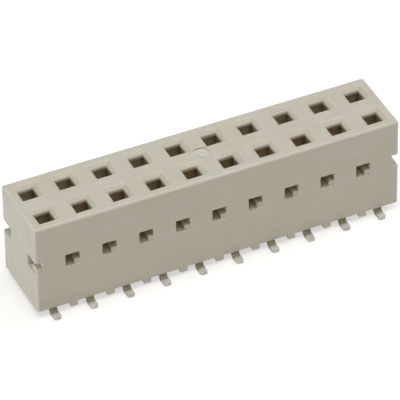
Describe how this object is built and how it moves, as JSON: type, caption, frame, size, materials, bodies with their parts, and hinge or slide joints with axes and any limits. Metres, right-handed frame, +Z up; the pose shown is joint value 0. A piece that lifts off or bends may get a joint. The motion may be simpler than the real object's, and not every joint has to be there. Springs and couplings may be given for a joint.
{
  "type": "pcb socket connector",
  "caption": "Straight surface-mount board socket: a grey-beige moulded housing with square lead-ins and side windows over stamped spring contacts with flat solder feet.",
  "frame": {"origin": "On the board plane that the solder feet stand on, under the middle of the socket.", "axes": "+X along the two rows, +Y from the front row to the back row, +Z up out of the pin openings."},
  "size_m": [0.0254, 0.0064, 0.0071],
  "materials": {
    "housing_plastic": "fine matt moulded surface, grey-beige heat-resistant plastic",
    "contact_metal": "dull tin plating on stamped copper alloy"
  },
  "bodies": {
    "root": {"housing": "housing_plastic", "contact_front_1": "contact_metal", "contact_front_2": "contact_metal", "contact_front_3": "contact_metal", "contact_front_4": "contact_metal", "contact_front_5": "contact_metal", "contact_front_6": "contact_metal", "contact_front_7": "contact_metal", "contact_front_8": "contact_metal", "contact_front_9": "contact_metal", "contact_front_10": "contact_metal", "contact_back_1": "contact_metal", "contact_back_2": "contact_metal", "contact_back_3": "contact_metal", "contact_back_4": "contact_metal", "contact_back_5": "contact_metal", "contact_back_6": "contact_metal", "contact_back_7": "contact_metal", "contact_back_8": "contact_metal", "contact_back_9": "contact_metal", "contact_back_10": "contact_metal"}
  },
  "joints": []
}
